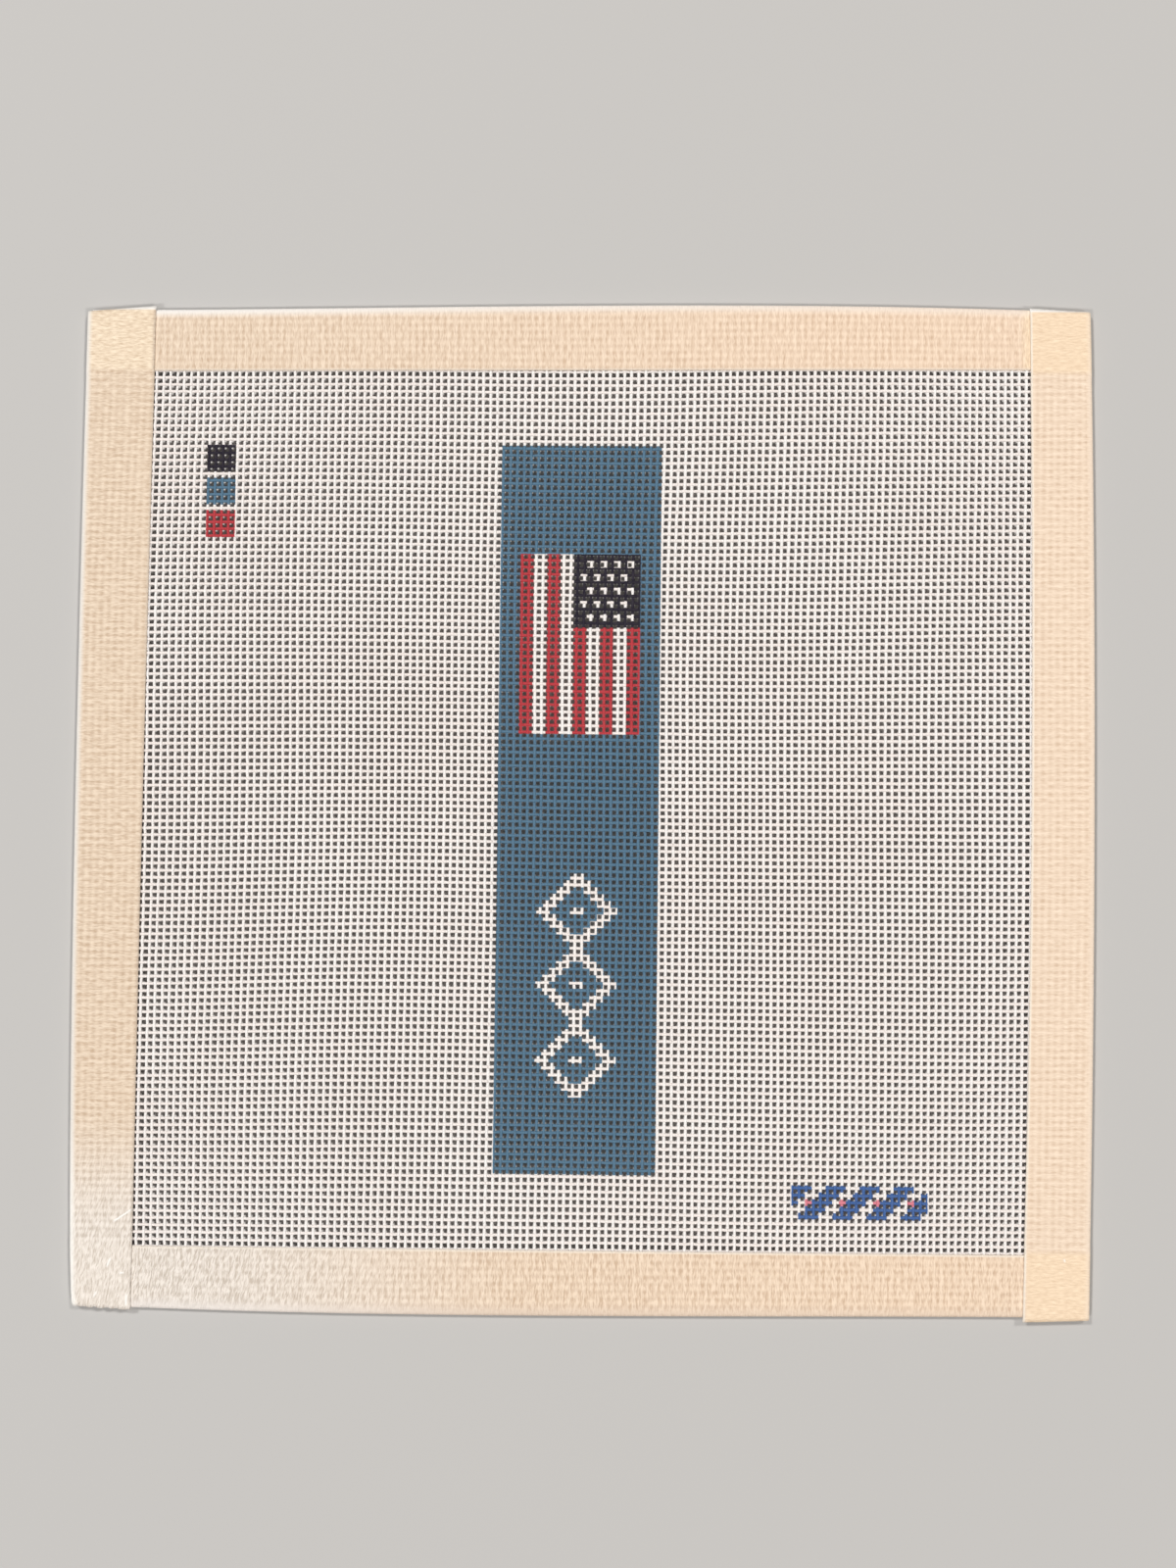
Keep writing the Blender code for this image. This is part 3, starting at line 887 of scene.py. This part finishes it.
def fold_tape(name, tape):
    """One tape: its outer and inner sides joined by rims into a closed folded sheet."""
    surface, flat_place = middle_surface(tape)
    outer, inner = paper_shell(surface)
    rows, columns = surface.shape[:2]
    index = np.arange(rows * columns).reshape(rows, columns)
    below = index + rows * columns

    def cells(grid):
        corners = [grid[:-1, :-1], grid[1:, :-1], grid[1:, 1:], grid[:-1, 1:]]
        return np.stack(corners, axis=-1).reshape(-1, 4)

    def rim(edge, edge_below):
        return np.stack([edge[:-1], edge_below[:-1], edge_below[1:], edge[1:]], axis=-1)

    around = [index[:, 0], index[-1, :], index[::-1, -1], index[0, ::-1]]
    rims = [rim(edge, edge + rows * columns) for edge in around]
    faces = np.concatenate([cells(index), cells(below)[:, ::-1]] + rims)
    points = np.concatenate([outer.reshape(-1, 3), inner.reshape(-1, 3)])

    # The bake layout: the outer side in the lower half, the inner side in the upper one.
    places = np.concatenate([flat_place.reshape(-1, 3)] * 2)
    sides, leaf = places[:, :2], places[:, [2, 2]]
    weave = np.stack(thread_count(points[:, 0], points[:, 1]), axis=-1)
    low = sides.min(axis=0)
    flat = BAKE_EDGE + (1 - 2 * BAKE_EDGE) * (sides - low) / (sides.max(axis=0) - low)
    flat[:, 1] /= 2
    flat[rows * columns:, 1] += 0.5
    on_rim = np.arange(len(faces)) >= 2 * (rows - 1) * (columns - 1)

    mesh = bpy.data.meshes.new("bound_" + name)
    mesh.from_pydata((points * MM).tolist(), [], faces.tolist())
    mesh.polygons.foreach_set("use_smooth", ~on_rim)
    for layer_name, values in (("OFBake", flat), ("tape", sides), ("leaf", leaf), ("weave", weave)):
        layer = mesh.uv_layers.new(name=layer_name)
        layer.data.foreach_set("uv", values[faces].astype(np.float32).ravel())
    mesh.materials.append(crepe_tape(name, tape))
    mesh.validate()

    piece = bpy.data.objects.new(mesh.name, mesh)
    bpy.context.scene.collection.objects.link(piece)
    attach(piece, "root")
    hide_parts("tape_" + name)


for tape_name, tape_row in TAPES.items():
    fold_tape(tape_name, tape_row)


# ---- Floor, lights and camera -------------------------------------------------------------------
# A plain pale floor under the panel, and four soft lamps round it, the strongest at the upper left
# and the warmer ones at the right. The camera is held close above, as for a phone picture.

CAMERA_PLACE = (4.01, -2.53, 236.38)
CAMERA_TURN = (1.6284, 0.7004, 0.4821)    # degrees about X, Y and Z from straight down
LENS, FILM = 27.045, 36.0
FLOOR_SIZE = 3.0             # the floor's and the lamps' sizes and places are in metres
FLOOR_COLOUR = (0.50, 0.49, 0.48, 1.0)
ROOM_COLOUR = (0.95, 0.97, 1.0, 1.0)
ROOM_LIGHT = 0.07
LAMP_ASIDE, LAMP_HEIGHT, LAMP_SIZE = 0.99, 1.28, 0.25
LAMPS = [
    ("upper left", -1, 1, 18.4, (1.0, 0.99, 0.97)),
    ("lower left", -1, -1, 13.8, (1.0, 0.99, 0.97)),
    ("upper right", 1, 1, 13.3, (1.0, 0.97, 0.93)),
    ("lower right", 1, -1, 13.3, (1.0, 0.97, 0.93)),
]


def pale_floor():
    """A plain square floor that the panel lies on."""
    half = FLOOR_SIZE / 2
    mesh = bpy.data.meshes.new("floor")
    corners = [(-half, -half, 0), (half, -half, 0), (half, half, 0), (-half, half, 0)]
    mesh.from_pydata(corners, [], [(0, 1, 2, 3)])
    material, shader = plain_material("pale floor", 0.9)
    shader.inputs["Base Color"].default_value = FLOOR_COLOUR
    mesh.materials.append(material)
    floor = bpy.data.objects.new("floor", mesh)
    bpy.context.scene.collection.objects.link(floor)


def soft_light(name, place, power, colour):
    """A square lamp that faces the panel."""
    lamp = bpy.data.lights.new(name, "AREA")
    lamp.shape = "SQUARE"
    lamp.size = LAMP_SIZE
    lamp.energy = power
    lamp.color = colour
    light = bpy.data.objects.new(name, lamp)
    light.location = place
    light.rotation_euler = Vector(place).to_track_quat("Z", "Y").to_euler()
    bpy.context.scene.collection.objects.link(light)


pale_floor()
for name, side, end, power, colour in LAMPS:
    soft_light(name + " lamp", (side * LAMP_ASIDE, end * LAMP_ASIDE, LAMP_HEIGHT), power, colour)

world = bpy.data.worlds.new("pale room")
world.use_nodes = True
world.node_tree.nodes["Background"].inputs["Color"].default_value = ROOM_COLOUR
world.node_tree.nodes["Background"].inputs["Strength"].default_value = ROOM_LIGHT
bpy.context.scene.world = world
bpy.context.scene.view_settings.view_transform = "Standard"

lens = bpy.data.cameras.new("camera")
lens.lens = LENS
lens.sensor_width = FILM
camera = bpy.data.objects.new("camera", lens)
camera.location = Vector(CAMERA_PLACE) * MM
camera.rotation_euler = Euler([radians(angle) for angle in CAMERA_TURN], "XYZ")
bpy.context.scene.collection.objects.link(camera)
bpy.context.scene.camera = camera
